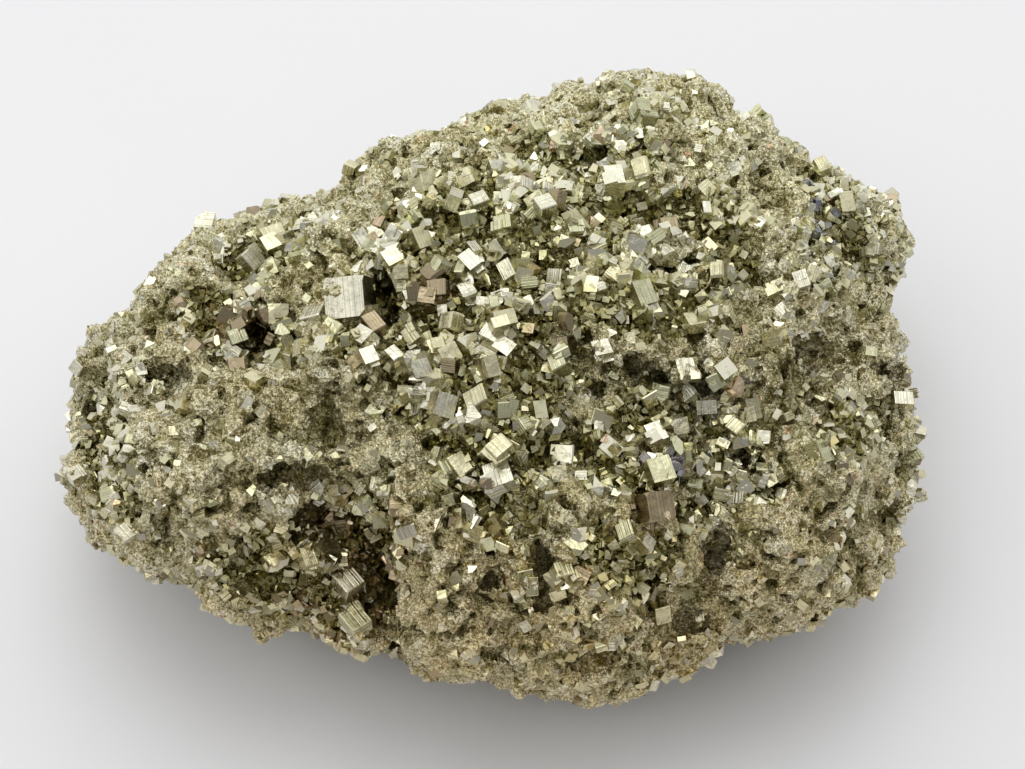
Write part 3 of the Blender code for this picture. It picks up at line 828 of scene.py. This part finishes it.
# Clean crystal faces: a mirror-like pale brass, with fine growth lines along one way of each face.
CLEANEST_GLOSS = 0.1
CRYSTAL_DIRT = (0.30, 0.27, 0.17, 1.0)

crystal_faces = bpy.data.materials.new("crystal_faces")
crystal_faces.use_nodes = True
nodes, links = crystal_faces.node_tree.nodes, crystal_faces.node_tree.links
shader = nodes["Principled BSDF"]
shader.inputs["Metallic"].default_value = 1.0
tint = nodes.new("ShaderNodeAttribute")
tint.attribute_name = "tint"
lined = nodes.new("ShaderNodeAttribute")
lined.attribute_name = "lined"
on_face = nodes.new("ShaderNodeUVMap")
on_face.uv_map = "face_mm"
across_lines = nodes.new("ShaderNodeSeparateXYZ")
growth = nodes.new("ShaderNodeTexNoise")
growth.noise_dimensions = "1D"
growth.inputs["Scale"].default_value = 2.4
growth.inputs["Detail"].default_value = 3.0
growth.inputs["Roughness"].default_value = 0.6
line_height = nodes.new("ShaderNodeMath")
line_height.operation = "MULTIPLY"
lines_bump = nodes.new("ShaderNodeBump")
lines_bump.inputs["Distance"].default_value = 0.0003
lines_bump.inputs["Strength"].default_value = 0.9
place = nodes.new("ShaderNodeTexCoord")
waves = nodes.new("ShaderNodeTexNoise")
waves.inputs["Scale"].default_value = 420.0
waves.inputs["Detail"].default_value = 3.0
waves_bump = nodes.new("ShaderNodeBump")
waves_bump.inputs["Distance"].default_value = 0.0004
waves_bump.inputs["Strength"].default_value = 0.6
dirt = nodes.new("ShaderNodeTexNoise")
dirt.inputs["Scale"].default_value = 800.0
dirt.inputs["Detail"].default_value = 6.0
dirt.inputs["Roughness"].default_value = 0.7
dirt_mask = nodes.new("ShaderNodeMapRange")
dirt_mask.inputs["From Min"].default_value = 0.54
dirt_mask.inputs["From Max"].default_value = 0.8
dirty = nodes.new("ShaderNodeMix")
dirty.data_type = "RGBA"
dirty.inputs["B"].default_value = CRYSTAL_DIRT
# Painted shade: crystal faces darken to olive with depth under the skin, towards their bases and in the gaps.
in_gaps = nodes.new("ShaderNodeGroup")
in_gaps.node_tree = painted_gap_shade
gloss = nodes.new("ShaderNodeMapRange")
gloss.inputs["From Min"].default_value = 0.3
gloss.inputs["From Max"].default_value = 0.75
gloss.inputs["To Min"].default_value = CLEANEST_GLOSS
gloss.inputs["To Max"].default_value = CLEANEST_GLOSS + 0.22
links.new(on_face.outputs["UV"], across_lines.inputs["Vector"])
links.new(across_lines.outputs["X"], growth.inputs["W"])
links.new(growth.outputs["Fac"], line_height.inputs[0])
links.new(lined.outputs["Fac"], line_height.inputs[1])
links.new(line_height.outputs["Value"], lines_bump.inputs["Height"])
links.new(place.outputs["Object"], waves.inputs["Vector"])
links.new(place.outputs["Object"], dirt.inputs["Vector"])
links.new(waves.outputs["Fac"], waves_bump.inputs["Height"])
links.new(waves_bump.outputs["Normal"], lines_bump.inputs["Normal"])
links.new(lines_bump.outputs["Normal"], shader.inputs["Normal"])
links.new(dirt.outputs["Fac"], dirt_mask.inputs["Value"])
links.new(dirt_mask.outputs["Result"], dirty.inputs["Factor"])
links.new(tint.outputs["Color"], dirty.inputs["A"])
links.new(dirty.outputs["Result"], in_gaps.inputs["Color"])
links.new(in_gaps.outputs["Color"], shader.inputs["Base Color"])
links.new(dirt.outputs["Fac"], gloss.inputs["Value"])
links.new(gloss.outputs["Result"], shader.inputs["Roughness"])

draw = random.Random(FINISH_SEED)
great_forms = [
    form_arrays(cube_form(corner_cut=CORNER_CUT)),
    form_arrays(cube_form(edge_cut=0.05)),
    form_arrays(cube_form(edge_cut=0.05, steps=2, seed=21)),
    form_arrays(cube_form(edge_cut=0.04, steps=3, seed=24)),
    form_arrays(cube_form(pyritohedral=0.6)),
    form_arrays(cube_form(broken=2, steps=1, seed=22)),
    form_arrays(cube_form(broken=3, seed=27)),
    form_arrays(cube_form(broken=3, steps=2, seed=30)),
]
great_groups = []
for number, form in enumerate(great_forms):
    whole = number == 0
    chosen = [item for item in great if (item[1] >= LARGE_FROM) == whole]
    if not whole:
        chosen = chosen[number - 1::len(great_forms) - 1]
    centres = np.array([centre for centre, _, _ in chosen])
    turns = np.array([turned for _, _, turned in chosen])
    shortest, longest = (1.0, 1.0) if whole else (SIDES_FROM, SIDES_TO)
    sizes = np.array([[edge * draw.uniform(shortest, longest) for _ in range(3)] for _, edge, _ in chosen])
    tints = [PALE if edge > LARGEST_FROM else crystal_tint(centre, draw, 0.5) for centre, edge, _ in chosen]
    lines = np.array([0.9 if whole else draw.choice((0.3, 0.6, 0.9)) for _ in chosen])
    great_groups.append((form, centres, turns, sizes, np.array(tints), lines))
great_crystals = joined("great_crystals", great_groups)
great_crystals.data.materials.append(crystal_faces)
mark_depth(great_crystals.data)
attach(great_crystals, "root")


# The druse between and around them: thousands of smaller pyrite crystals that grew side by side until they
# met, larger and clearer in the open fields, small towards the rims and few on the fine granular rock.
CLEAR_FROM, CLEAR_TO = 1.2, 2.65
RIM_EDGE = 1.6
SMALL_EDGE = (0.7, 1.4)
CLEAR_IN_ROCK = 0.015
SMALL_IN_ROCK = 0.05
SUNK = 0.3
CANDIDATES = 240000
SPREAD_SEED = 29


def points_on(mesh, count, seed):
    """Seeded points spread evenly over a mesh, in millimetres, and the way that its corners face there."""
    rng = np.random.default_rng(seed)
    mesh.calc_loop_triangles()
    corners = np.empty(len(mesh.loop_triangles) * 3, np.int32)
    mesh.loop_triangles.foreach_get("vertices", corners)
    corners = corners.reshape(-1, 3)
    triangles = corner_places(mesh)[corners] / MM
    span = np.cross(triangles[:, 1] - triangles[:, 0], triangles[:, 2] - triangles[:, 0])
    area = np.linalg.norm(span, axis=1)
    picked = rng.choice(len(area), count, p=area / area.sum())
    a, b = rng.random((2, count, 1))
    folded = (a + b) > 1.0
    a, b = np.where(folded, 1.0 - a, a), np.where(folded, 1.0 - b, b)
    chosen = triangles[picked]
    points = chosen[:, 0] + a * (chosen[:, 1] - chosen[:, 0]) + b * (chosen[:, 2] - chosen[:, 0])
    ways = np.empty(len(mesh.vertices) * 3)
    mesh.vertices.foreach_get("normal", ways)
    mean = ways.reshape(-1, 3)[corners[picked]].sum(axis=1)
    return points, mean / np.linalg.norm(mean, axis=1, keepdims=True)


class Spacing:
    """Keeps things apart: a grid of cells that remembers where each was put and how wide it is."""

    def __init__(self, cell):
        self.cell = cell
        self.cells = {}

    def key(self, point):
        return tuple(int(math.floor(c / self.cell)) for c in point)

    def free(self, point, width, share):
        i, j, k = self.key(point)
        for a in (i - 1, i, i + 1):
            for b in (j - 1, j, j + 1):
                for c in (k - 1, k, k + 1):
                    for other, other_width in self.cells.get((a, b, c), ()):
                        if (point - other).length < share * (width + other_width) / 2:
                            return False
        return True

    def put(self, point, width):
        self.cells.setdefault(self.key(point), []).append((point, width))


spots, ways = points_on(rock_mesh, CANDIDATES, SPREAD_SEED)
great_places = KDTree(len(great))
for index, (centre, edge, _) in enumerate(great):
    great_places.insert(centre, index)
great_places.balance()


GREAT_RADIUS, LARGE_RADIUS = 0.5, 0.62
OWN_RADIUS = 0.2


def clear_of_great(point, width):
    """Whether a crystal of this width may grow here without covering a great one."""
    _, index, apart = great_places.find(point)
    edge = great[index][1]
    return apart > edge * (GREAT_RADIUS if edge < LARGE_FROM else LARGE_RADIUS) + width * OWN_RADIUS


# The open part of the display face: its middle, across and up, its half widths, and where its rim starts.
OPEN_ACROSS, OPEN_UP = 2.0, 3.0
OPEN_WIDE, OPEN_HIGH = 50.0, 33.0
RIM_END, RIM_WIDTH = 1.15, 0.35


def widest_at(point):
    """Crystals grow large only in the open fields of the display face, and stay small towards its rims."""
    across, up = face_place(point)
    near_rim = math.hypot((across - OPEN_ACROSS) / OPEN_WIDE, (up - OPEN_UP) / OPEN_HIGH)
    return RIM_EDGE + (CLEAR_TO - RIM_EDGE) * held((RIM_END - near_rim) / RIM_WIDTH)


STEP_OUT = 1.2
OPEN_ROOM = 9.0
ROOM_SHARE = 0.42


def room_above(point, normal):
    """How far the surface can see out before it meets a wall of its own pit."""
    hit = solid_tree.ray_cast((point + normal * STEP_OUT) * MM, normal, OPEN_ROOM * MM)
    return OPEN_ROOM if hit[0] is None else hit[3] / MM + STEP_OUT


# Shares of the points tried for either size, and how near each other crystals grow, in druse and in rock.
CLEAR_TRIED, SMALL_TRIED = 0.35, 0.7
DRUSE_FROM = 0.4
CLEAR_APART, CLEAR_APART_IN_ROCK = 0.5, 1.1
SMALL_APART, SMALL_APART_IN_ROCK = 0.95, 1.05
CLEAR_CELL, SMALL_CELL = 3.4, 1.8
LEAST_CLEAR = 1.1
SIZE_SPREAD = 0.9
LIFTED = 0.9
LOWEST = 0.5

draw = random.Random(SPREAD_SEED)
clear_spacing, small_spacing = Spacing(CLEAR_CELL), Spacing(SMALL_CELL)
clear, small = [], []
for spot, way in zip(spots, ways):
    point, normal = Vector(spot), Vector(way)
    if point.z < LOWEST:
        continue
    druse = druse_share(point, normal)
    in_rock = druse < DRUSE_FROM
    chance = draw.random()
    if chance < CLEAR_TRIED:
        full = CLEAR_FROM + (widest_at(point) - CLEAR_FROM) * draw.random() ** SIZE_SPREAD
        width = min(full, ROOM_SHARE * room_above(point, normal))
        if in_rock and draw.random() > CLEAR_IN_ROCK:
            continue
        if width > LEAST_CLEAR and point.z > width * LIFTED and clear_of_great(point, width):
            if clear_spacing.free(point, width, CLEAR_APART_IN_ROCK if in_rock else CLEAR_APART):
                clear_spacing.put(point, width)
                clear.append((point, normal, width, druse))
    elif chance < SMALL_TRIED:
        width = draw.uniform(*SMALL_EDGE)
        if in_rock and draw.random() > SMALL_IN_ROCK:
            continue
        if point.z > width * LIFTED and clear_of_great(point, width):
            if small_spacing.free(point, width, SMALL_APART_IN_ROCK if in_rock else SMALL_APART):
                small_spacing.put(point, width)
                small.append((point, normal, width, druse))


FULL_TURN = 6.283
UPRIGHT_SPREAD = 17


def random_turn(draw, normal, upright):
    """A turn at random, or for an upright crystal one that shows a face to the outside."""
    if not upright:
        return Quaternion([draw.gauss(0, 1) for _ in range(4)]).normalized().to_matrix()
    outward = normal.to_track_quat("Z", "Y").to_matrix() @ Matrix.Rotation(draw.uniform(0, FULL_TURN), 3, "Z")
    return outward @ Euler([math.radians(draw.gauss(0, UPRIGHT_SPREAD)) for _ in range(3)]).to_matrix()


def group_of(form, chosen, draw, proud, uneven, upright, lined_share):
    """The copies of one form: each stands out by a share of its width, less where the rock is granular."""
    centres = [p + n * (w * (draw.uniform(*proud) - SUNK * (1.0 - d))) for p, n, w, d in chosen]
    turns = [random_turn(draw, n, draw.random() < upright) for _, n, _, _ in chosen]
    sizes = [[w * draw.uniform(1 - uneven, 1 + uneven) for _ in range(3)] for _, _, w, _ in chosen]
    tints = [crystal_tint(p, draw) for p, _, _, _ in chosen]
    lines = [draw.uniform(0.5, 1.0) if draw.random() < lined_share else 0.0 for _ in chosen]
    return form, np.array(centres), np.array(turns), np.array(sizes), np.array(tints), np.array(lines)


def shared_out(forms, weights, items, draw):
    """The spots for crystals, dealt out to the forms by their weights."""
    shared = [[] for _ in forms]
    for item in items:
        shared[draw.choices(range(len(forms)), weights)[0]].append(item)
    return zip(forms, shared)


def druse_piece(name, groups):
    """One piece of the druse, with its finish."""
    crystals = joined(name, groups)
    crystals.data.materials.append(crystal_faces)
    mark_depth(crystals.data)
    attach(crystals, "root")


# Each size: how far a crystal stands out or is sunk, how uneven its sides are, and the shares that stand
# upright and carry growth lines. The weights say how common each form is.
CLEAR_WAY = ((-0.3, 0.22), 0.32, 0.08, 0.36)
CLEAR_WEIGHTS = (5, 7, 12, 12, 10, 13, 14, 14, 13)
CUBIC_FORMS = 5
SMALL_WAY = ((-0.1, 0.25), 0.28, 0.12, 0.12)
SMALL_WEIGHTS = (16, 28, 30, 26)

clear_forms = [
    form_arrays(cube_form(edge_cut=0.07)),
    form_arrays(cube_form(corner_cut=0.16)),
    form_arrays(cube_form(steps=1, seed=4)),
    form_arrays(cube_form(edge_cut=0.06, steps=2, seed=7)),
    form_arrays(cube_form(steps=3, seed=12)),
    form_arrays(cube_form(pyritohedral=0.57)),
    form_arrays(cube_form(broken=3, seed=5)),
    form_arrays(cube_form(broken=4, seed=8)),
    form_arrays(cube_form(broken=6, seed=13)),
]
dealt = shared_out(clear_forms, CLEAR_WEIGHTS, clear, draw)
clear_groups = [group_of(form, chosen, draw, *CLEAR_WAY) for form, chosen in dealt]
druse_piece("cubic_crystals", clear_groups[:CUBIC_FORMS])
druse_piece("broken_crystals", clear_groups[CUBIC_FORMS:])

small_forms = [
    form_arrays(cube_form()),
    form_arrays(cube_form(broken=1, seed=2)),
    form_arrays(cube_form(broken=2, seed=6)),
    form_arrays(cube_form(broken=2, seed=15)),
]
dealt = shared_out(small_forms, SMALL_WEIGHTS, small, draw)
druse_piece("small_crystals", [group_of(form, chosen, draw, *SMALL_WAY) for form, chosen in dealt])

sizes = {"solid": [list(corner) for corner in solid_box], "visual": [list(corner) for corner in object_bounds()]}
